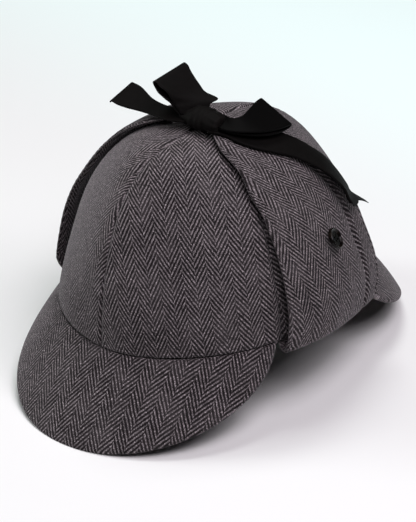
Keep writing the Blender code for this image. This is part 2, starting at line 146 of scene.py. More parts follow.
def make_tweed():
    finish, start, shader = new_finish("herringbone_tweed")
    lay = start.node("ShaderNodeUVMap", {"uv_map": "lay"})
    place = start.node("ShaderNodeTexCoord", None, None, 3)
    across = start.node("ShaderNodeSeparateXYZ", None, {0: lay}, 0) / MM
    lengthwise = start.node("ShaderNodeSeparateXYZ", None, {0: lay}, 1) / MM
    wander = start.noise(lay, WANDER, 1.0) - 0.5
    quiver = start.noise(lay, QUIVER, 1.0) - 0.5

    # the twill: each lengthwise yarn floats over two crosswise ones and then dives under two,
    # a step later than its neighbour, and the steps turn round from one column to the next
    strayed = across + wander * 0.5 + quiver * 0.25
    zigzag = start.maths("PINGPONG", strayed, TWILL_COLUMN)
    turned_back = start.maths("PINGPONG", start.maths("FLOOR", strayed / TWILL_COLUMN), 1.0)
    end = start.maths("FLOOR", zigzag * (TWILL_ENDS / TWILL_COLUMN))
    from_end = start.maths("FRACT", zigzag * (TWILL_ENDS / TWILL_COLUMN))
    stepped = (end + 0.5) * (TWILL_COLUMN / TWILL_ENDS)
    slant = (zigzag * 0.55 + stepped * 0.45) * TWILL_STEEP
    rise = lengthwise + wander * 0.4 + quiver * 0.5 + slant + turned_back * (TWILL_PITCH / 2)
    wave = start.maths("SINE", rise * (2 * math.pi / TWILL_PITCH)) * 0.5 + 0.5
    round_end_and_shade = 1 - start.maths("POWER", start.maths("ABSOLUTE", from_end * 2 - 1), 2.5)

    # uneven wool: thick and thin yarn, flecks in it, and hairs that stray over the dark yarns
    stretched = {"operation": "MULTIPLY"}
    spun = start.node("ShaderNodeVectorMath", stretched, {0: lay, 1: YARN_STRETCH})
    slub = start.noise(spun, SLUBS)
    line = (wave + (slub - 0.5) * 1.2).step(0.42, 0.98)
    fleck = start.noise(spun, FLECKS).step(0.34, 0.68)
    hairs = start.noise(lay, HAIRS, 3.0).step(0.48, 0.80)
    # the yarns' round sides are painted darker: painted shade between the yarns
    light = line * (0.55 + 0.45 * round_end_and_shade) * (0.32 + 0.98 * fleck) + hairs * 0.10 + 0.03

    # the whole cloth: rubbed patches lose their lines, clouds come and go, and painted light leaves it
    # darker low down
    felted = start.noise(place, FELTING, 3.0).step(0.42, 0.70) * 0.32 + 0.03
    cloud = start.noise(place, CLOUDS) * 0.6 + start.noise(place, BLOTCHES) * 0.4
    # painted light from above: the cloth is painted darker low down and paler high up
    height = start.node("ShaderNodeSeparateXYZ", None, {0: place}, 2).step(*PAINTED_LIGHT_UP)
    light = (light + (0.27 - light) * felted) * (0.30 + 1.48 * cloud) * (0.86 + 0.22 * height)
    grey = light.blend(TWEED_DARK, TWEED_GREY)
    nep = (start.noise(lay, NEPS).step(0.53, 0.70) * line).blend(grey, TWEED_PALE)
    nep.feeds(shader, "Base Color")

    crumple = start.noise(place, CRUMPLES, 3.0) * 2.4
    relief = line * 0.55 + round_end_and_shade * 0.2 + fleck * 0.3 + hairs * 0.2 + crumple
    settings = {"Height": relief, "Strength": 0.6, "Distance": 0.28 * MM}
    bump = start.node("ShaderNodeBump", None, settings)
    bump.feeds(shader, "Normal")
    shader.inputs["Roughness"].default_value = 0.95
    shader.inputs["Specular IOR Level"].default_value = 0.12
    shader.inputs["Sheen Weight"].default_value = 0.24
    shader.inputs["Sheen Roughness"].default_value = 0.35
    shader.inputs["Sheen Tint"].default_value = (0.75, 0.72, 0.75, 1)
    return finish


tweed = make_tweed()

# ---------------------------------------------------------------------------------------------
# The crown's form: an oval hem on the wearer's head under a dome whose shoulder is squarer in
# front than at the sides. The gores, the peaks, the flaps and the long tail all follow it.

HAT_MIDDLE = (2.6, 5.4, 0.0)   # the middle of the hem, from the middle of the whole hat
HEM_HEIGHT = 42.7        # mean height of the hem above the surface
HEM_TILT = 4.3           # the forehead sits this much above the mean and the nape below it
HEM_SADDLE = -2.8        # the sides sit this much above the mean, and front and back below
CROWN_HEIGHT = 104.2     # from the mean hem to the top
TOP_FORWARD = 8.8        # the top is this far in front of the hem's middle
GORE_HOLLOW = 0.069      # a gore's middle is flatter than its seams by this share
GORE_WIDTH = 60          # degrees across a gore that is hollowed by just that share
SEAM_SOFTNESS = 0.25     # how broadly the hollow rounds over a seam
CLIMB_POWER = 0.8        # share of the radius at a climb is its cosine to this power
LEAN_POWER = 3           # the higher it is, the lower on the crown the lean sets in
CLOTH = 2.0              # tweed on a stiff backing
GAP = 0.3                # left between pieces that are sewn or lie together
FACINGS = {
    # reach to the hem, how square the shoulder is, how fast it rises there, how far it leans in
    "front": {"reach": 105.3, "shoulder": 3.96, "rise": 1.84, "lean": 0.021},
    "side": {"reach": 81.3, "shoulder": 2.22, "rise": 2.07, "lean": 0.0315},
    "back": {"reach": 104.7, "shoulder": 2.74, "rise": 1.87, "lean": 0.042},
}
GORES = (
    # name, first seam, last seam, angle that the grain runs up, degrees that it leans, crumple
    ("gore_front_left", 0, 68, 45, -4.5, 1.0),
    ("gore_side_left", 68, 112, 90, 0, 1.0),
    ("gore_back_left", 112, 180, 135, 4.0, 1.0),
    ("gore_back_right", 180, 248, 225, -4.0, 1.0),
    ("gore_side_right", 248, 292, 270, 0, 1.0),
    ("gore_front_right", 292, 360, 315, -4.0, 2.0),
)


def mix(start, end, share):
    return start + (end - start) * share


def vectors(x, y, z):
    return np.stack(np.broadcast_arrays(x, y, z), -1).astype(float)


def facing(angle, value):
    """A crown value by facing, from the front, side and back rows."""
    toward = np.cos(np.radians(angle))
    end = np.where(toward > 0, FACINGS["front"][value], FACINGS["back"][value])
    return mix(FACINGS["side"][value], end, toward**2)


def hem(angle):
    turn = np.radians(angle)
    end = np.where(np.cos(turn) > 0, FACINGS["front"]["reach"], FACINGS["back"]["reach"])
    height = HEM_HEIGHT + HEM_TILT * np.cos(turn) + HEM_SADDLE * np.cos(2 * turn)
    return vectors(FACINGS["side"]["reach"] * np.sin(turn), -end * np.cos(turn), height)


def hollow(angle, under_flap):
    """How far a place is from its gore's seams, 0 on a seam and about 1 in the middle.

    What lies over a side gore doesn't follow its hollow."""
    angle = np.asarray(angle, float) % 360
    full = math.hypot(1, SEAM_SOFTNESS) - SEAM_SOFTNESS
    depth = np.zeros_like(angle)
    for name, start, end, *_ in GORES:
        if under_flap and "side" in name:
            continue
        wave = np.sin(np.pi * (angle - start) / (end - start))
        rounded = (np.hypot(wave, SEAM_SOFTNESS) - SEAM_SOFTNESS) / full
        inside = (angle >= start) & (angle <= end)
        depth = np.where(inside, rounded * (end - start) / GORE_WIDTH, depth)
    return depth


def crown_face(angle, climb, under_flap):
    share = np.maximum(np.cos(np.radians(climb)), 0.0) ** CLIMB_POWER
    height = np.maximum(1 - share ** facing(angle, "shoulder"), 0.0) ** (1 / facing(angle, "rise"))
    toward = np.cos(np.radians(angle))
    lean = mix(FACINGS["back"]["lean"], FACINGS["front"]["lean"], (1 + toward) / 2)
    radius = share * (1 - lean * (1 - (1 - height) ** LEAN_POWER))
    radius = radius * (1 - GORE_HOLLOW * hollow(angle, under_flap) * np.sin(height * np.pi / 2))
    base = hem(angle)
    top = HEM_HEIGHT + CROWN_HEIGHT
    return vectors(
        base[..., 0] * radius,
        base[..., 1] * radius - TOP_FORWARD * height,
        mix(base[..., 2], top, height),
    )


def unit(rows):
    return rows / np.linalg.norm(rows, axis=-1, keepdims=True)


def crown(angle, climb, out=0.0, under_flap=False):
    """Points of the crown's outer face, or ones that stand out from it."""
    step = 0.1
    angle, climb, out = (np.asarray(part, float) for part in (angle, climb, out))
    low = np.maximum(climb - step, 0.0)
    ahead = crown_face(angle + step, climb, under_flap) - crown_face(angle - step, climb, under_flap)
    up = crown_face(angle, climb + step, under_flap) - crown_face(angle, low, under_flap)
    return crown_face(angle, climb, under_flap) + unit(np.cross(ahead, up)) * out[..., None]


def corners_of(mesh):
    spots = np.empty(len(mesh.vertices) * 3)
    mesh.vertices.foreach_get("co", spots)
    return spots.reshape(-1, 3)


def make_up(piece, points, flat, finish):
    """Moves a piece's corners to points, lays it on its flat cloth and gives it its finish."""
    mesh = piece.data
    mesh.vertices.foreach_set("co", ((points + np.array(HAT_MIDDLE)) * MM).ravel())
    loops = np.empty(len(mesh.loops), int)
    mesh.loops.foreach_get("vertex_index", loops)
    layer = mesh.uv_layers[0]
    layer.name = "lay"
    layer.data.foreach_set("uv", (flat * MM)[loops].ravel())
    mesh.update()
    bpy.ops.object.mode_set(mode="EDIT")
    bpy.ops.mesh.select_all(action="SELECT")
    bpy.ops.mesh.normals_make_consistent(inside=False)
    bpy.ops.object.mode_set(mode="OBJECT")
    bpy.ops.object.shade_smooth()
    mesh.materials.append(finish)


def sewn(name, columns, rows, place, lay, finish):
    """A closed piece of cloth: a grid is extruded into two faces and its points are placed.

    columns and rows are stations from 0 to 1. place(a, b, side) gives points, with side 1 on
    the face and 0 on the back, and lay(a, b, side) gives their place on the flat cloth."""
    bpy.ops.object.select_all(action="DESELECT")
    wide, high = len(columns) - 1, len(rows) - 1
    bpy.ops.mesh.primitive_grid_add(x_subdivisions=wide, y_subdivisions=high, size=2)
    piece = bpy.context.object
    piece.name = name
    bpy.ops.object.mode_set(mode="EDIT")
    bpy.ops.mesh.select_all(action="SELECT")
    bpy.ops.mesh.extrude_region_move(TRANSFORM_OT_translate={"value": (0, 0, 1)})
    bpy.ops.object.mode_set(mode="OBJECT")
    spots = corners_of(piece.data)
    a = np.asarray(columns, float)[np.rint((spots[:, 0] + 1) / 2 * wide).astype(int)]
    b = np.asarray(rows, float)[np.rint((spots[:, 1] + 1) / 2 * high).astype(int)]
    side = np.rint(spots[:, 2])
    flat = np.stack(np.broadcast_arrays(*lay(a, b, side)), -1)
    make_up(piece, place(a, b, side), flat, finish)
    return piece


def stations(count, crowding=0.0):
    """Stations from 0 to 1, which crowding from 0 to 1 draws towards both ends."""
    even = np.linspace(0, 1, count + 1)
    return mix(even, 0.5 - 0.5 * np.cos(np.pi * even), crowding)


def lengths_along(line):
    """How far each point of a line is from its first one, along the line."""
    return np.concatenate([[0], np.cumsum(np.linalg.norm(np.diff(line, axis=0), axis=1))])


# ---------------------------------------------------------------------------------------------
# The crown's six gores: each is cut with its herringbone running up the middle and sewn to
# the next, so the columns run off at the seams, which sink a little and pucker. At the hem the
# cloth is turned in and rounds over the peaks.

GORE_COLUMNS = 72
GORE_COLUMNS_CROWD = 0.75
GORE_ROWS = 130
GORE_ROWS_CROWD = 0.15
HEM_ROWS = 5             # extra rows over the hem's turn
GORE_TOP = 89.6          # climb of the gores' points
GORE_SHOULDER = 76       # climb above which a gore's width is measured from the top
LEAST_RADIUS = 0.5       # at the gores' points
GORE_MEASURES = 240      # points at which a gore's length is measured
SEAM_DEPTH = 0.9         # how far the cloth sinks at a seam
SEAM_ROUND = 1.1         # half the width of that sinking
SEAM_HOLD = 12           # a seam keeps the cloth even for this far beside it
NARROW = 20              # a gore narrower than this, near its point, has less room to stray
HEM_DEPTH = 2.2          # how far the cloth sinks at the hem's turn
HEM_ROUND = 2.4          # height of that turn
TURNING = 1.9            # how far the cloth turns down inside, behind the peaks' seats
TURNING_OUT = 0.7        # how much thicker it is there
PUCKER = 0.16            # height of the puckers beside a seam
PUCKER_LENGTH = 6.5      # from one to the next
PUCKER_STRAY = (2.1, 17)  # radians that their rhythm strays, and mm of seam to a radian of it
PUCKER_REACH = 5.0       # how far into the cloth they reach
WAVER = 0.6              # how far an even gore strays from the crown's form
WAVES = (
    # radians for each mm along x, y and z
    (1 / 9.5, 1 / 23, 0),
    (0, 1 / 11, -1 / 17),
    (1 / 31, 0, 1 / 8.5),
    (1 / 15, 1 / 15, 1 / 29),
    (0, 1 / 19, -1 / 19),
    (1 / 13, 0, -1 / 13),
)


def puckers(up, length, stray):
    """Puckers along a seam from -1 to 1, in a rhythm that strays."""
    return np.sin(2 * math.pi * up / length + stray[0] * np.sin(up / stray[1]))


def waver(points, seed):
    """A slow unevenness over the cloth, mostly between -1 and 1."""
    turns = np.random.default_rng(seed).uniform(0, 2 * math.pi, len(WAVES))
    return np.sin(points @ np.array(WAVES).T + turns).sum(-1) / 4


def leaning(across, up, degrees):
    """A place on flat cloth when the cloth is turned under its pattern piece."""
    turn = math.radians(degrees)
    return (
        across * math.cos(turn) - up * math.sin(turn),
        across * math.sin(turn) + up * math.cos(turn),
    )


def make_gore(name, start, end, grain, lean, crumple, seed):
    middle = (start + end) / 2
    climbs = np.linspace(0, GORE_TOP, GORE_MEASURES)
    lengths = lengths_along(crown(np.full_like(climbs, middle), climbs))
    gore_length = lengths[-1]

    def radius(climb):
        ring = crown_face(np.full_like(climb, middle), climb, False)
        axis = vectors(0, -TOP_FORWARD * np.minimum(climb / GORE_SHOULDER, 1), 0)
        return np.linalg.norm((ring - axis)[..., :2], axis=-1)

    def spot(a, b):
        """The angle and climb of a place on the gore, and how wide the gore is there."""
        climb = np.interp(b * gore_length, lengths, climbs)
        ring = np.maximum(radius(climb), LEAST_RADIUS)
        inset = np.degrees(GAP / 2 / ring)
        width = ring * math.radians(end - start)
        return mix(start + inset, end - inset, a), climb, width

    def place(a, b, side):
        angle, climb, width = spot(a, b)
        from_seam = np.minimum(a, 1 - a) * width
        up = b * gore_length
        sink = np.maximum(
            SEAM_DEPTH * np.exp(-((from_seam / SEAM_ROUND) ** 2)),
            HEM_DEPTH * (1 - np.sqrt(1 - np.clip(1 - up / HEM_ROUND, 0, 1) ** 2)),
        )
        pull = PUCKER * puckers(up, PUCKER_LENGTH, PUCKER_STRAY)
        pull = pull * np.exp(-from_seam / PUCKER_REACH) * np.minimum(from_seam, 1)
        stray = WAVER * crumple * waver(crown_face(angle, climb, False), seed)
        stray = stray * np.minimum(from_seam / SEAM_HOLD, 1)
        fade = np.minimum(width / NARROW, 1)
        turned = np.maximum(1 - up / (2 * TURNING), 0) * (side < 0.5)
        out = np.where(side > 0.5, (pull + stray) * fade - sink, -CLOTH - TURNING_OUT * turned)
        point = crown(angle, climb, out)
        point[..., 2] -= TURNING * turned
        return point

    def lay(a, b, side):
        angle, climb, width = spot(a, b)
        return leaning((angle - grain) / (end - start) * width, b * gore_length, lean)

    hem_rows = stations(HEM_ROWS)[:-1] * HEM_ROUND / gore_length
    rows = np.unique(np.round([*hem_rows, *stations(GORE_ROWS, GORE_ROWS_CROWD)], 6))
    return sewn(name, stations(GORE_COLUMNS, GORE_COLUMNS_CROWD), rows, place, lay, tweed)


for number, (name, *cut) in enumerate(GORES):
    gore = make_gore(f"{name}_cloth", *cut, number)
    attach(gore, "root")
    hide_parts(name)

# ---------------------------------------------------------------------------------------------
# The peaks: curved boards covered in tweed on both sides, sewn in under the crown's hem, with
# the cover turned over the rim. The herringbone runs out straight over the front peak and
# aslant over the back one.

BOARD = 3.0              # thickness of a peak with its cover
PEAKS = (
    # name, angle of the middle, which way it points along y, length, degrees of fall
    ("front_peak", 0, -1, 56.7, 50.4),
    ("back_peak", 180, 1, 43.5, 53.5),
)
PEAK_HALF_ANGLE = 65.2   # from a peak's middle to its corner, round the hem
PEAK_POWER = 0.509       # how full the outline is, half an ellipse at 0.5
PEAK_SIDEWAYS = 0.55     # how far the board fans out to the sides
PEAK_TURN = 0.6          # how much its corners turn away from straight ahead
PEAK_RIM = 1.0           # what is left of the peak at its corners
PEAK_BULGE = 1.2         # the board's bow along its fall
PEAK_SEAT = 0.06         # share of its rows that lies under the crown's cloth
PEAK_SEATED = 0.9        # share of that cloth's thickness that it reaches in
PEAK_FOOT = 0.05         # the cloth on the surface stands this little above it
PEAK_EDGE = 0.02         # square of the share of the thickness that is left right at the rim
PEAK_COLUMNS = 110
PEAK_COLUMNS_CROWD = 0.9
SEAT_ROWS = 3            # rows under the crown's cloth
PEAK_ROWS = 60
RIM_ROWS = 10            # closer rows over the rim
RIM_SHARES = (0.0005, 0.05)   # shares of the peak from its rim to the nearest and farthest one
OPENING_STRIPS = 80      # strips that the cover is opened out in
PEAK_GRAIN = {"front_peak": -2.5, "back_peak": 32.0}   # degrees that the cover's grain leans


def make_peak(name, middle, forward, length, fall):
    slope = math.radians(fall)

    def spread(a, b):
        """Points of the upper face, the way that it faces and how far off the rim is."""
        across = 2 * a - 1
        turn = np.radians(across * PEAK_HALF_ANGLE)
        angle = middle + across * PEAK_HALF_ANGLE
        ahead = unit(vectors(
            -forward * PEAK_SIDEWAYS * np.sin(turn), forward * np.cos(PEAK_TURN * turn), 0.0
        ))
        up = np.array((0.0, 0.0, 1.0))
        down = ahead * math.cos(slope) - up * math.sin(slope)
        rise = ahead * math.sin(slope) + up * math.cos(slope)
        full = length * np.maximum(1 - across**2, 0) ** PEAK_POWER
        reach = np.maximum(full, PEAK_RIM)[..., None]
        inward = (crown(angle, angle * 0, angle * 0 - CLOTH) - hem(angle)) * PEAK_SEATED
        seated = np.minimum(b / PEAK_SEAT, 1)[..., None]
        run = (np.maximum(b - PEAK_SEAT, 0) / (1 - PEAK_SEAT))[..., None]
        point = hem(angle) + inward * (1 - seated) - up * GAP + down * reach * run
        point = point + rise * PEAK_BULGE * 4 * run * (1 - run) * reach / length
        return point, rise, reach * (1 - run)

    def place(a, b, side):
        point, rise, from_rim = spread(a, b)
        half = BOARD / 2
        inside = np.clip(1 - from_rim / half, 0, 1)
        thick = half * np.sqrt(np.maximum(1 - inside**2, PEAK_EDGE))
        point = point - rise * half + rise * thick * np.where(side > 0.5, 1, -1)[..., None]
        point[..., 2] = np.maximum(point[..., 2], PEAK_FOOT)
        return point

    def meet(flat_first, flat_second, first, second, new, way):
        """Where a point lies flat, from its distances to two points that are laid already."""
        base = np.linalg.norm(flat_second - flat_first)
        to_first, to_second = np.linalg.norm(new - first), np.linalg.norm(new - second)
        back = (to_first**2 - to_second**2 + base**2) / (2 * base)
        off = math.sqrt(max(to_first**2 - back**2, 0))
        ahead = (flat_second - flat_first) / base
        sideways = np.array((-ahead[1], ahead[0])) * way
        return flat_first + ahead * back + sideways * off

    def opened():
        """The cover's two edges when it is opened out flat, strip by strip from its middle."""
        stops = stations(OPENING_STRIPS)
        near, far = spread(stops, stops * 0 + PEAK_SEAT)[0], spread(stops, stops * 0 + 1)[0]
        flat_near, flat_far = np.zeros((len(stops), 2)), np.zeros((len(stops), 2))
        middle_strip = OPENING_STRIPS // 2
        flat_far[middle_strip] = (0, -np.linalg.norm(far[middle_strip] - near[middle_strip]))
        for way in (1, -1):
            for strip in range(middle_strip):
                k = middle_strip + way * strip
                n = k + way
                flat_near[n] = meet(flat_near[k], flat_far[k], near[k], far[k], near[n], way)
                flat_far[n] = meet(flat_near[n], flat_far[k], near[n], far[k], far[n], way)
        return stops, flat_near, flat_far

    stops, flat_near, flat_far = opened()

    def lay(a, b, side):
        run = np.maximum(b - PEAK_SEAT, -PEAK_SEAT) / (1 - PEAK_SEAT)
        flat = [
            mix(np.interp(a, stops, flat_near[:, k]), np.interp(a, stops, flat_far[:, k]), run)
            for k in range(2)
        ]
        return leaning(*flat, PEAK_GRAIN[name])

    rim = 1 - np.geomspace(*RIM_SHARES, RIM_ROWS)[::-1]
    seat_rows = np.linspace(0, PEAK_SEAT, SEAT_ROWS + 1)[:-1]
    falling_rows = np.linspace(PEAK_SEAT, rim[0], PEAK_ROWS)[:-1]
    columns = stations(PEAK_COLUMNS, PEAK_COLUMNS_CROWD)
    return sewn(f"{name}_cover", columns, [*seat_rows, *falling_rows, *rim, 1], place, lay, tweed)


for name, *cut in PEAKS:
    cover = make_peak(name, *cut)
    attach(cover, "root")
    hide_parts(name)

# ---------------------------------------------------------------------------------------------
# The ear flaps: two layers of tweed with wadding between them, turned out and pressed along
# their edges, folded up under the hem and drawn to the top by the ribbon.

FLAP = 3.2               # thickness of a flap
FLAP_EDGES = (
    # climb, front, rear
    (0, 66.9, 113.8),
    (3, 67.4, 117.2),
    (9, 68.3, 119.5),
    (22, 68.4, 118.4),
    (30, 68.0, 119.5),
    (37, 67.3, 120.5),
    (44, 66.2, 119.5),
    (52, 63.2, 117.0),
    (61, 61.0, 113.5),
    (69, 53.5, 110.5),
    (76, 48.5, 107.0),
    (82, 43.0, 104.0),
)
STAND_OFF = {
    # climb, at the front edge, before the rear band, flare of the rear band
    "left": (
        (0, 8.0, 4.2, 1.0),
        (14, 8.0, 4.1, 1.6),
        (24, 7.1, 4.0, 1.7),
        (34, 6.0, 4.0, 1.7),
        (48, 5.0, 4.1, 0.9),
        (60, 4.7, 4.2, 0.0),
        (82, 4.3, 4.2, 0.0),
    ),
    "right": (
        (0, 14.0, 8.4, 1.0),
        (12, 12.9, 7.6, 1.6),
        (24, 10.6, 5.9, 1.7),
        (36, 7.2, 4.5, 1.7),
        (48, 5.4, 4.4, 0.9),
        (60, 5.0, 4.5, 0.0),
        (82, 4.7, 4.5, 0.0),
    ),
}
SETTLING = (0.2, 0.8)    # shares of the width between which the front stand-off gives way
REAR_BAND = 0.15         # share of the width in the rear band
FLAP_TIP = {"left": 78.5, "right": 79.5}   # climb of the flap's end
FOLD_DROP = {"left": 3.4, "right": 7.4}    # how far the fold hangs under the hem
FOLD_SHARE = 0.12        # share of the flap's length in the fold
FLAP_COLUMNS = 90
FLAP_COLUMNS_CROWD = 0.85
FLAP_ROWS = 150
FLAP_ROWS_CROWD = 0.35
FLAP_EDGE = 0.03         # square of the share of the thickness that is left right at the edge
EDGE_BAND = 2.9          # from the flap's edge to where its layers are pressed together
BAND_GROOVE = 0.55       # how far they are pressed in there
GROOVE_HALF = 0.9        # half the width of that groove
EDGE_PUCKER = 0.14       # height of the puckers along it
EDGE_PUCKER_LENGTH = 4.7
EDGE_PUCKER_STRAY = (1.9, 13)
EDGE_PUCKER_HALF = 2.4   # how far they reach on either side of it
FLAP_WAVER = 0.25        # how far the cloth strays from the flap's even form
FLAP_SEED = 11
EDGE_HOLD = 10           # the edge keeps the cloth even for this far beside it
FLAP_GRAIN = -5.5        # degrees that a flap's grain leans
FLAP_FULLNESS = 1.03     # the cloth's width over the straight line between its edges
UNDERCUT = 1.3           # how much the flap's lining side is drawn up at its edge
UNDERCUT_REACH = 3.2     # how far in from the edge that reaches
CREASE = 2.4             # depth of the crease that the rear band turns out from
CREASE_HALF = 1.8        # half its width
CREASE_BAND = 0.2        # from the rear edge to it, as a share of the flap's width
FULL_FLARE = 1.7         # flare of the rear band at which the crease is that deep
FLAP_MEASURES = 200      # points at which a flap's length is measured


def along(table, column, place):
    """Values of a table's column at places given by its first column, on a smooth curve."""
    rows = np.array(table, float)
    last = len(rows) - 1
    place = np.clip(place, rows[0, 0], rows[-1, 0])
    i = np.clip(np.searchsorted(rows[:, 0], place, side="right") - 1, 0, last - 1)
    before = rows[np.maximum(np.arange(last + 1) - 1, 0)]
    after = rows[np.minimum(np.arange(last + 1) + 1, last)]
    slope = (after[:, column] - before[:, column]) / (after[:, 0] - before[:, 0])
    step = rows[i + 1, 0] - rows[i, 0]
    t = (place - rows[i, 0]) / step
    return (
        (2 * t**3 - 3 * t**2 + 1) * rows[i, column]
        + (t**3 - 2 * t**2 + t) * step * slope[i]
        + (3 * t**2 - 2 * t**3) * rows[i + 1, column]
        + (t**3 - t**2) * step * slope[i + 1]
    )


def flap_climb(side, b):
    return np.maximum(b - FOLD_SHARE, 0) / (1 - FOLD_SHARE) * FLAP_TIP[side]


def flap_middle(side, a, b):
    """Points halfway through a flap's cloth, drawn on the wearer's left."""
    climb = flap_climb(side, b)
    angle = mix(along(FLAP_EDGES, 1, climb), along(FLAP_EDGES, 2, climb), a)
    front, rear, flare = (along(STAND_OFF[side], column, climb) for column in (1, 2, 3))
    settled = np.clip((a - SETTLING[0]) / (SETTLING[1] - SETTLING[0]), 0, 1)
    out = mix(front, rear, settled**2 * (3 - 2 * settled)) - FLAP / 2
    out = out + flare * np.maximum(a - 1 + REAR_BAND, 0) / REAR_BAND
    turn = np.pi * np.minimum(b / FOLD_SHARE, 1)
    half = (out + CLOTH / 2) / 2
    folded = crown(angle, climb * 0, out - half - half * np.cos(turn), True)
    folded[..., 2] -= 2 * GAP + FOLD_DROP[side] * np.sin(turn)
    raised = crown(angle, climb, out, True)
    return np.where((b >= FOLD_SHARE)[..., None], raised, folded)


def flap_spread(side, a, b):
    """A flap's middle surface and the way that its face looks."""
    step = 0.004
    over = flap_middle(side, np.minimum(a + step, 1), b) - flap_middle(side, np.maximum(a - step, 0), b)
    up = flap_middle(side, a, np.minimum(b + step, 1)) - flap_middle(side, a, np.maximum(b - step, 0))
    return flap_middle(side, a, b), unit(np.cross(over, up))


def make_flap(side):
    stops = np.linspace(0, 1, FLAP_MEASURES)
    lengths = lengths_along(flap_middle(side, np.full_like(stops, 0.5), stops))
    flap_length = lengths[-1]

    def width(b):
        span = flap_middle(side, b * 0 + 1, b) - flap_middle(side, b * 0, b)
        return np.linalg.norm(span, axis=-1) * FLAP_FULLNESS

    def up(b):
        return np.interp(b, stops, lengths)

    def place(a, b, face):
        point, outward = flap_spread(side, a, b)
        from_side = np.minimum(a, 1 - a) * width(b)
        from_edge = np.minimum(from_side, flap_length - up(b))
        half = FLAP / 2
        inside = np.clip(1 - from_edge / half, 0, 1)
        thick = half * np.sqrt(np.maximum(1 - inside**2, FLAP_EDGE))
        from_band = from_edge - EDGE_BAND
        groove = BAND_GROOVE * np.exp(-((from_band / GROOVE_HALF) ** 2))
        pull = EDGE_PUCKER * puckers(up(b), EDGE_PUCKER_LENGTH, EDGE_PUCKER_STRAY)
        pull = pull * np.exp(-((from_band / EDGE_PUCKER_HALF) ** 2))
        thick = thick - groove + pull
        stray = FLAP_WAVER * waver(point, FLAP_SEED) * np.clip(from_edge / EDGE_HOLD, 0, 1)
        drawn_up = UNDERCUT * np.exp(-((from_edge / UNDERCUT_REACH) ** 2)) * (b > FOLD_SHARE)
        from_crease = (a - 1 + CREASE_BAND) * width(b)
        flare = along(STAND_OFF[side], 3, flap_climb(side, b))
        crease = CREASE * flare / FULL_FLARE * np.exp(-((from_crease / CREASE_HALF) ** 2))
        offset = np.where(face > 0.5, thick + stray - crease, drawn_up - thick)
        point = point + outward * offset[..., None]
        if side == "right":
            point = point * np.array((-1.0, 1.0, 1.0))
        return point

    def lay(a, b, face):
        return leaning((a - 0.5) * (width(b) + 2 * FLAP * (1 - face)), up(b), FLAP_GRAIN)

    columns = stations(FLAP_COLUMNS, FLAP_COLUMNS_CROWD)
    rows = stations(FLAP_ROWS, FLAP_ROWS_CROWD)
    return sewn(f"ear_flap_{side}_cloth", columns, rows, place, lay, tweed)


for side in ("left", "right"):
    flap = make_flap(side)
    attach(flap, "root")
    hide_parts(f"ear_flap_{side}")

# ---------------------------------------------------------------------------------------------
# The ribbon: 25 mm black grosgrain tied over the crown's top. Its two loops, its short tail and
# the long tail that lies over the left flap are thin strips. Where the knot gathers them their
# edges turn under. The loop that lies towards the back is a darker copy: painted shade.

RIBBON_WIDTH = 25.4
RIBBON_THICK = 0.5
RIB_PITCH = 0.7          # from one crosswise rib to the next
THREAD_PITCH = 0.42      # from one lengthwise thread to the next
SELVEDGE = 0.9           # width of the bound edge
SELVEDGE_FADE = 0.4
RIBBON_CLOUDS = 220.0    # broad unevenness of its black, in lumps to the metre


def make_grosgrain(name, darkest, palest, sheen):
    finish, start, shader = new_finish(name)
    lay = start.node("ShaderNodeUVMap", {"uv_map": "lay"})
    along_ribbon = start.node("ShaderNodeSeparateXYZ", None, {0: lay}, 1) / MM
    across = start.node("ShaderNodeSeparateXYZ", None, {0: lay}, 0) / MM
    rib = start.maths("SINE", along_ribbon * (2 * math.pi / RIB_PITCH)) * 0.5 + 0.5
    thread = start.maths("SINE", across * (2 * math.pi / THREAD_PITCH)) * 0.5 + 0.5
    bound = RIBBON_WIDTH / 2 - SELVEDGE
    # the bound edges: a paler selvedge, and a painted highlight along the ribbon's edges
    selvedge_and_highlight = start.maths("ABSOLUTE", across).step(bound, bound + SELVEDGE_FADE)
    cloud = start.noise(lay, RIBBON_CLOUDS, 3.0)
    shade = cloud * 0.45 + rib * 0.18 + selvedge_and_highlight * 0.25
    colour = shade.blend(darkest, palest)
    colour.feeds(shader, "Base Color")
    relief = rib * 0.7 + thread * 0.2 + cloud * 0.2
    settings = {"Height": relief, "Strength": 0.4, "Distance": 0.12 * MM}
    bump = start.node("ShaderNodeBump", None, settings)
    bump.feeds(shader, "Normal")
    shader.inputs["Roughness"].default_value = 0.65
    shader.inputs["Specular IOR Level"].default_value = 0.06
    shader.inputs["Sheen Weight"].default_value = sheen
    shader.inputs["Sheen Roughness"].default_value = 0.4
    return finish


grosgrain = make_grosgrain(
    "black_grosgrain", (0.0013, 0.0012, 0.0011, 1), (0.0085, 0.0071, 0.0069, 1), 0.008
)
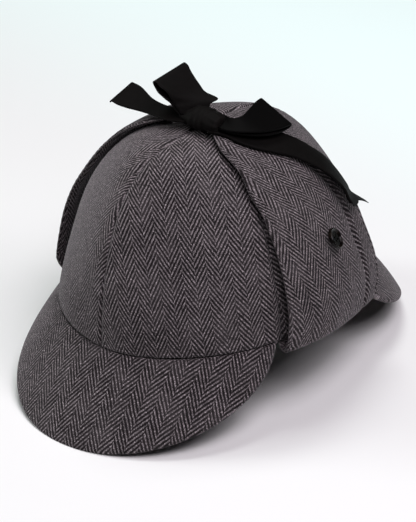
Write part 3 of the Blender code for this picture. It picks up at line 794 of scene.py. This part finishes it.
# a darker copy of the ribbon for the back loop: painted shade
shade_painted_grosgrain = make_grosgrain(
    "painted_shade_grosgrain", (0.0005, 0.0004, 0.0004, 1), (0.0016, 0.0014, 0.0014, 1), 0.001
)
LOOP_UP = (
    # x, y, z, width x, width y, width z, width
    (1.4, -24.0, 156.8, 0.64, 0.77, 0.02, 16.0),
    (-0.4, -24.2, 160.6, 0.64, 0.77, 0.02, 18.4),
    (-0.5, -21.9, 163.0, 0.61, 0.79, 0.01, 24.6),
    (-5.2, -22.9, 165.9, 0.36, 0.93, -0.08, 21.7),
    (-9.0, -22.2, 168.4, 0.19, 0.97, -0.11, 23.1),
    (-14.0, -21.6, 171.2, 0.12, 0.99, -0.02, 24.1),
    (-18.9, -20.9, 174.1, 0.06, 0.99, 0.09, 25.4),
    (-21.1, -20.9, 173.7, 0.03, 0.99, 0.12, 25.4),
    (-19.9, -21.0, 171.2, 0.02, 0.99, 0.10, 25.2),
    (-15.6, -21.9, 168.1, 0.08, 0.99, 0.08, 25.0),
    (-11.3, -22.4, 165.4, 0.14, 0.98, 0.06, 23.1),
    (-8.1, -22.8, 162.6, 0.20, 0.98, 0.05, 19.4),
    (-5.9, -23.6, 159.4, 0.30, 0.95, 0.06, 16.0),
    (-3.0, -23.6, 156.2, 0.40, 0.91, 0.05, 14.0),
)
LOOP_BACK = (
    # x, y, z, width x, width y, width z, width
    (15.7, -21.3, 155.2, 0.40, -0.89, -0.22, 11.0),
    (19.0, -21.3, 155.6, 0.66, -0.70, -0.26, 13.4),
    (24.9, -20.9, 155.7, 0.79, -0.45, -0.42, 10.6),
    (29.0, -17.4, 155.5, 0.86, -0.22, -0.46, 10.8),
    (30.5, -11.9, 155.0, 0.89, -0.17, -0.42, 13.9),
    (30.0, -4.0, 154.1, 0.91, -0.17, -0.39, 18.6),
    (28.5, 6.0, 152.9, 0.93, -0.13, -0.35, 23.0),
    (27.4, 13.6, 152.0, 0.93, -0.07, -0.36, 24.3),
    (26.9, 15.0, 150.9, 0.93, -0.06, -0.36, 24.3),
    (27.4, 10.9, 150.1, 0.93, -0.08, -0.35, 24.4),
    (28.7, 1.5, 150.2, 0.94, -0.08, -0.34, 22.4),
    (29.0, -7.5, 150.9, 0.93, -0.12, -0.34, 18.1),
    (27.2, -15.0, 151.9, 0.90, -0.26, -0.34, 13.4),
    (22.6, -19.6, 152.9, 0.78, -0.56, -0.26, 12.4),
    (16.2, -21.6, 152.9, 0.45, -0.88, -0.14, 10.0),
)
TAIL_SHORT = (
    # x, y, z, width x, width y, width z, width
    (-2.0, -24.4, 154.4, -0.12, 0.96, 0.24, 12.0),
    (-13.3, -29.2, 154.4, -0.36, 0.88, 0.31, 10.8),
    (-22.6, -28.9, 154.1, -0.10, 0.92, 0.36, 9.4),
    (-33.8, -26.9, 153.7, -0.08, 0.96, 0.26, 12.8),
    (-46.2, -23.4, 153.5, -0.25, 0.96, 0.12, 22.6),
    (-53.6, -23.0, 153.5, -0.22, 0.97, 0.05, 25.4),
    (-54.5, -23.0, 152.6, -0.22, 0.97, 0.05, 25.2),
)
TAIL_LONG = (
    # near angle, near climb, near out, far angle, far climb, far out
    (39.0, 78.0, 5.0, 58.0, 83.5, 5.0),
    (57.8, 76.0, 5.2, 76.0, 80.6, 5.2),
    (67.6, 72.1, 5.4, 96.0, 77.2, 5.1),
    (77.4, 68.5, 5.7, 105.8, 73.6, 4.9),
    (87.7, 64.4, 6.2, 110.9, 68.7, 4.7),
    (96.9, 59.4, 6.9, 114.6, 62.4, 4.7),
    (102.1, 52.9, 8.6, 116.6, 56.7, 4.9),
    (103.8, 48.2, 10.8, 118.1, 51.4, 5.3),
    (105.0, 43.2, 12.2, 117.2, 45.7, 5.9),
    (105.8, 40.1, 12.4, 115.8, 39.5, 6.6),
    (106.0, 36.6, 11.6, 115.2, 35.6, 7.2),
    (107.3, 33.4, 10.4, 125.8, 26.1, 8.2),
)
NOTCH = 0.045            # depth of the swallowtail cut, as a share of the tail's length
TAIL_LIFT = 0.7          # room under the long tail for its turned edges
TUCK_ROUND = 0.5         # radius of a turned edge
TUCK_CLEAR = 0.4         # the turned edges stay this far from the ribbon's middle
STRIP_COLUMNS = 64
LONG_TAIL_COLUMNS = 40
LONG_TAIL_ROWS = 110
RIBBON_MEASURES = 300    # points at which a ribbon's length is measured


def smooth_rows(table, place):
    """The columns of a table at places from 0 to 1 along it, on a curve through its rows."""
    numbered = [(k, *row) for k, row in enumerate(table)]
    where = np.clip(place, 0, 1) * (len(table) - 1)
    return [along(numbered, column, where) for column in range(1, len(numbered[0]))]


def tucked(across, half):
    """Where ribbon lies across a strip that is narrower than it, and how far it drops.

    Both its edges turn under. half is half the strip's width."""
    full = RIBBON_WIDTH / 2
    turn_room = full - (math.pi / 2 - 1) * TUCK_ROUND
    flat = np.where(half < turn_room, half - TUCK_ROUND, np.interp(
        half, (turn_room, full), (turn_room - TUCK_ROUND, full)
    ))
    over = np.maximum(np.abs(across) - flat, 0)
    turn = np.minimum(over / TUCK_ROUND, np.pi)
    most = np.maximum(full - flat - np.pi * TUCK_ROUND, 1e-6)
    back = np.maximum(over - np.pi * TUCK_ROUND, 0) * np.minimum((flat - TUCK_CLEAR) / most, 1)
    reach = np.minimum(np.abs(across), flat) + TUCK_ROUND * np.sin(turn) - back
    return np.sign(across) * reach, -TUCK_ROUND * (1 - np.cos(turn))


def make_strip(name, table, rows, ribbon):
    """A ribbon through a table's rows, with its edges turned under where they are narrower."""

    def middle(b):
        return np.stack(smooth_rows(table, b)[:3], -1)

    stops = np.linspace(0, 1, RIBBON_MEASURES)
    lengths = lengths_along(middle(stops))

    def place(a, b, side):
        step, nudge = 0.01, 0.05
        *_, width_x, width_y, width_z, width = smooth_rows(table, b)
        wide = unit(vectors(width_x, width_y, width_z))
        ahead = middle(b + step) - middle(b - step)
        outward = unit(np.cross(wide, ahead))
        woven, half = (a - 0.5) * RIBBON_WIDTH, np.minimum(width, RIBBON_WIDTH) / 2
        across, drop = tucked(woven, half)
        slope = np.stack(tucked(woven + nudge, half)) - np.stack([across, drop])
        slope = slope / np.maximum(np.hypot(*slope), 1e-6)
        thick = RIBBON_THICK * (side - 0.5)
        across, lift = across - slope[1] * thick, drop + slope[0] * thick
        return middle(b) + wide * across[..., None] + outward * lift[..., None]

    def lay(a, b, side):
        return (a - 0.5) * RIBBON_WIDTH, np.interp(b, stops, lengths)

    strip = sewn(name, stations(STRIP_COLUMNS), stations(rows), place, lay, ribbon)
    return strip, lengths[-1] * MM


def make_long_tail():
    """The tail that lies over the left flap and ends in a swallowtail cut."""

    def line(a, b):
        near_angle, near_climb, near_out, far_angle, far_climb, far_out = smooth_rows(TAIL_LONG, b)
        out = mix(near_out, far_out, a)
        return mix(near_angle, far_angle, a), mix(near_climb, far_climb, a), out

    def place(a, b, side):
        b = b * (1 - NOTCH * (1 - np.abs(2 * a - 1)))
        span = crown(*line(a * 0 + 1, b), True) - crown(*line(a * 0, b), True)
        width = np.minimum(np.linalg.norm(span, axis=-1), RIBBON_WIDTH)
        across, drop = tucked((a - 0.5) * RIBBON_WIDTH, width / 2)
        angle, climb, out = line(0.5 + across / width, b)
        turned_over = np.where(drop < -TUCK_ROUND, -1, 1)
        return crown(angle, climb, out + TAIL_LIFT + drop + RIBBON_THICK * side * turned_over, True)

    stops = np.linspace(0, 1, RIBBON_MEASURES)
    lengths = lengths_along(crown(*line(np.full_like(stops, 0.5), stops), True))

    def lay(a, b, side):
        return (a - 0.5) * RIBBON_WIDTH, np.interp(b, stops, lengths)

    columns, rows = stations(LONG_TAIL_COLUMNS), stations(LONG_TAIL_ROWS)
    strip = sewn("ribbon_tail_long_strip", columns, rows, place, lay, grosgrain)
    return strip, lengths[-1] * MM


STRIPS = (
    # node, table, rows, ribbon, how it is held
    ("bow_loop_up", LOOP_UP, 120, grosgrain, "folded"),
    # the back loop takes the copy of the ribbon with painted shade
    ("bow_loop_back", LOOP_BACK, 120, shade_painted_grosgrain, "folded"),
    ("ribbon_tail_short", TAIL_SHORT, 60, grosgrain, "gathered"),
)
for node, table, rows, ribbon, held in STRIPS:
    strip, length = make_strip(f"{node}_strip", table, rows, ribbon)
    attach(strip, "root")
    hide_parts(node)

long_tail, length = make_long_tail()
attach(long_tail, "root")
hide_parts("ribbon_tail_long")

# ---------------------------------------------------------------------------------------------
# The knot: the ribbon's own wrap round the middle of the bow, drawn tight into soft creases.

KNOT_PLACE = (5.2, -23.0, 154.4)
KNOT_RADII = (13.5, 8.0, 6.2)
KNOT_SEGMENTS = 112      # round the knot
KNOT_RINGS = 80          # from one end to the other
WRAP_HALF = 4.9          # half the width of the turn of ribbon that goes round the middle
WRAP_RISE = 0.8          # how far that turn stands out
WRAP_EDGE = 0.22         # how softly it ends
KNOT_CREASE = 0.16       # depth of the creases in that turn
KNOT_CREASES = 1.7       # radians of them for each mm along the knot
KNOT_CREASE_STRAY = 0.8  # radians that they stray
KNOT_GATHER = 0.34       # depth of the gathers beside it
KNOT_GATHERS = 9         # gathers round the knot
KNOT_GATHER_STRAY = (1.3, 3)   # radians that they stray, and mm along the knot to a radian of it
KNOT_SQUEEZE = 0.5       # how far the whole knot is drawn in


def make_knot():
    bpy.ops.object.select_all(action="DESELECT")
    bpy.ops.mesh.primitive_uv_sphere_add(segments=KNOT_SEGMENTS, ring_count=KNOT_RINGS)
    knot = bpy.context.object
    knot.name = "bow_knot_wrap"
    # the sphere's poles turn to the knot's two ends, where the loops and tails come out
    spots = corners_of(knot.data)[:, (2, 0, 1)]
    x = np.sin(spots[:, 0] * math.pi / 2) * KNOT_RADII[0]
    end = np.abs(spots[:, 0])
    girth = np.sqrt(1 - end**3)
    around = np.arctan2(spots[:, 2], spots[:, 1])
    wrap = WRAP_RISE / (1 + np.exp((np.abs(x) - WRAP_HALF) / WRAP_EDGE))
    crease = KNOT_CREASE * np.sin(x * KNOT_CREASES + KNOT_CREASE_STRAY * np.sin(around * 2))
    stray, slow = KNOT_GATHER_STRAY
    gather = KNOT_GATHER * end * np.sin(around * KNOT_GATHERS + stray * np.sin(x / slow))
    puff = wrap + np.where(wrap > WRAP_RISE / 2, crease, gather) - KNOT_SQUEEZE
    points = vectors(
        x,
        np.cos(around) * (KNOT_RADII[1] + puff) * girth,
        np.sin(around) * (KNOT_RADII[2] + puff) * girth,
    )
    flat = np.stack([x, around * KNOT_RADII[1]], -1)
    make_up(knot, points + np.array(KNOT_PLACE), flat, grosgrain)
    return knot


knot = make_knot()
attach(knot, "root")
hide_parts("bow_knot")

# ---------------------------------------------------------------------------------------------
# The flap buttons: turned dark horn with a raised rim and four holes. Their meshes are the
# solid part's own, and only the finish is new.

HORN_STREAKS = 260.0     # streaks to the metre
HORN_DARK = (0.0020, 0.0015, 0.0013, 1)
HORN_PALE = (0.011, 0.008, 0.006, 1)


def make_horn():
    finish, start, shader = new_finish("dark_horn")
    place = start.node("ShaderNodeTexCoord", None, None, 3)
    streak = start.noise(place, HORN_STREAKS, 4.0)
    colour = streak.step(0.42, 0.70).blend(HORN_DARK, HORN_PALE)
    colour.feeds(shader, "Base Color")
    (0.16 + 0.12 * streak).feeds(shader, "Roughness")
    shader.inputs["Specular IOR Level"].default_value = 0.14
    return finish


horn = make_horn()
for side in ("left", "right"):
    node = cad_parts[f"flap_button_{side}"]
    node.data.materials.clear()
    node.data.materials.append(horn)

# ---------------------------------------------------------------------------------------------
# The studio: a wide floor of white paper with painted cool light and a painted glow behind the
# hat, a very faint world, cool lamps on the wearer's right and warm ones on the wearer's left.

FLOOR_SIZE = 12.0        # metres
BEHIND = (0.12, 0.45)    # metres behind the hat's middle between which the painted light on the paper comes in
PAPER = (0.90, 0.91, 0.91, 1)
# painted light on the paper behind the hat: a cooler colour and a glow
PAPER_PAINTED_COOL = (0.80, 0.92, 0.91, 1)
PAINTED_GLOW_BEHIND = (0.17, 0.20, 0.20, 1)

bpy.ops.object.select_all(action="DESELECT")
bpy.ops.mesh.primitive_plane_add(size=FLOOR_SIZE, location=(0, 0, 0))
floor = bpy.context.object
floor.name = "studio_floor"
paper, start, shader = new_finish("white_paper")
place = start.node("ShaderNodeTexCoord", None, None, 3)
# painted light behind the hat: the paper is painted cooler and glows, though it is no lamp
behind = start.node("ShaderNodeSeparateXYZ", None, {0: place}, 1).step(*BEHIND)
colour = behind.blend(PAPER, PAPER_PAINTED_COOL)
colour.feeds(shader, "Base Color")
painted_glow = behind.blend((0, 0, 0, 1), PAINTED_GLOW_BEHIND)
painted_glow.feeds(shader, "Emission Color")
shader.inputs["Emission Strength"].default_value = 1.0
shader.inputs["Roughness"].default_value = 0.8
floor.data.materials.append(paper)

world = bpy.data.worlds.new("overcast")
world.use_nodes = True
sky = world.node_tree.nodes["Background"]
sky.inputs["Color"].default_value = (0.96, 0.99, 1.0, 1)
sky.inputs["Strength"].default_value = 0.01
bpy.context.scene.world = world

CAMERA_AIM = (-4.54, 2.10, 52.81)
CAMERA_AZIMUTH = 39.09
CAMERA_ELEVATION = 28.476
CAMERA_DISTANCE = 1362.4
CAMERA_LENS = 162.6

COOL = (0.965, 1.0, 0.975)
WARM = (1.0, 0.93, 0.985)
LAMPS = (
    # name, azimuth, elevation, power, colour
    ("back_left", -128.0, 72.0, 10.6, COOL),
    ("left", -58.0, 22.0, 9.4, COOL),
    ("front", 45.0, 53.0, 6.2, WARM),
    ("right", 90.0, 50.0, 6.9, WARM),
    ("right_high", 90.0, 67.0, 7.4, WARM),
)
LAMP_AIM = (0, 0, 80)
LAMP_DISTANCE = 1600.0
LAMP_SIZE = 620.0


def aimed(azimuth, elevation, distance, aim):
    """A place and a turn that looks at aim from there."""
    around, above = math.radians(azimuth), math.radians(elevation)
    back = np.array((
        math.sin(around) * math.cos(above), -math.cos(around) * math.cos(above), math.sin(above)
    ))
    return (np.array(aim) + back * distance) * MM, (math.pi / 2 - above, 0, around)


for name, azimuth, elevation, power, tint in LAMPS:
    place, turn = aimed(azimuth, elevation, LAMP_DISTANCE, LAMP_AIM)
    bpy.ops.object.light_add(type="AREA", location=place, rotation=turn)
    lamp = bpy.context.object
    lamp.name = f"lamp_{name}"
    lamp.data.size = LAMP_SIZE * MM
    lamp.data.energy = power
    lamp.data.color = tint

place, turn = aimed(CAMERA_AZIMUTH, CAMERA_ELEVATION, CAMERA_DISTANCE, CAMERA_AIM)
bpy.ops.object.camera_add(location=place, rotation=turn)
camera = bpy.context.object
camera.data.lens = CAMERA_LENS
camera.data.sensor_width = 36
bpy.context.scene.camera = camera
bpy.context.scene.view_settings.view_transform = "Standard"
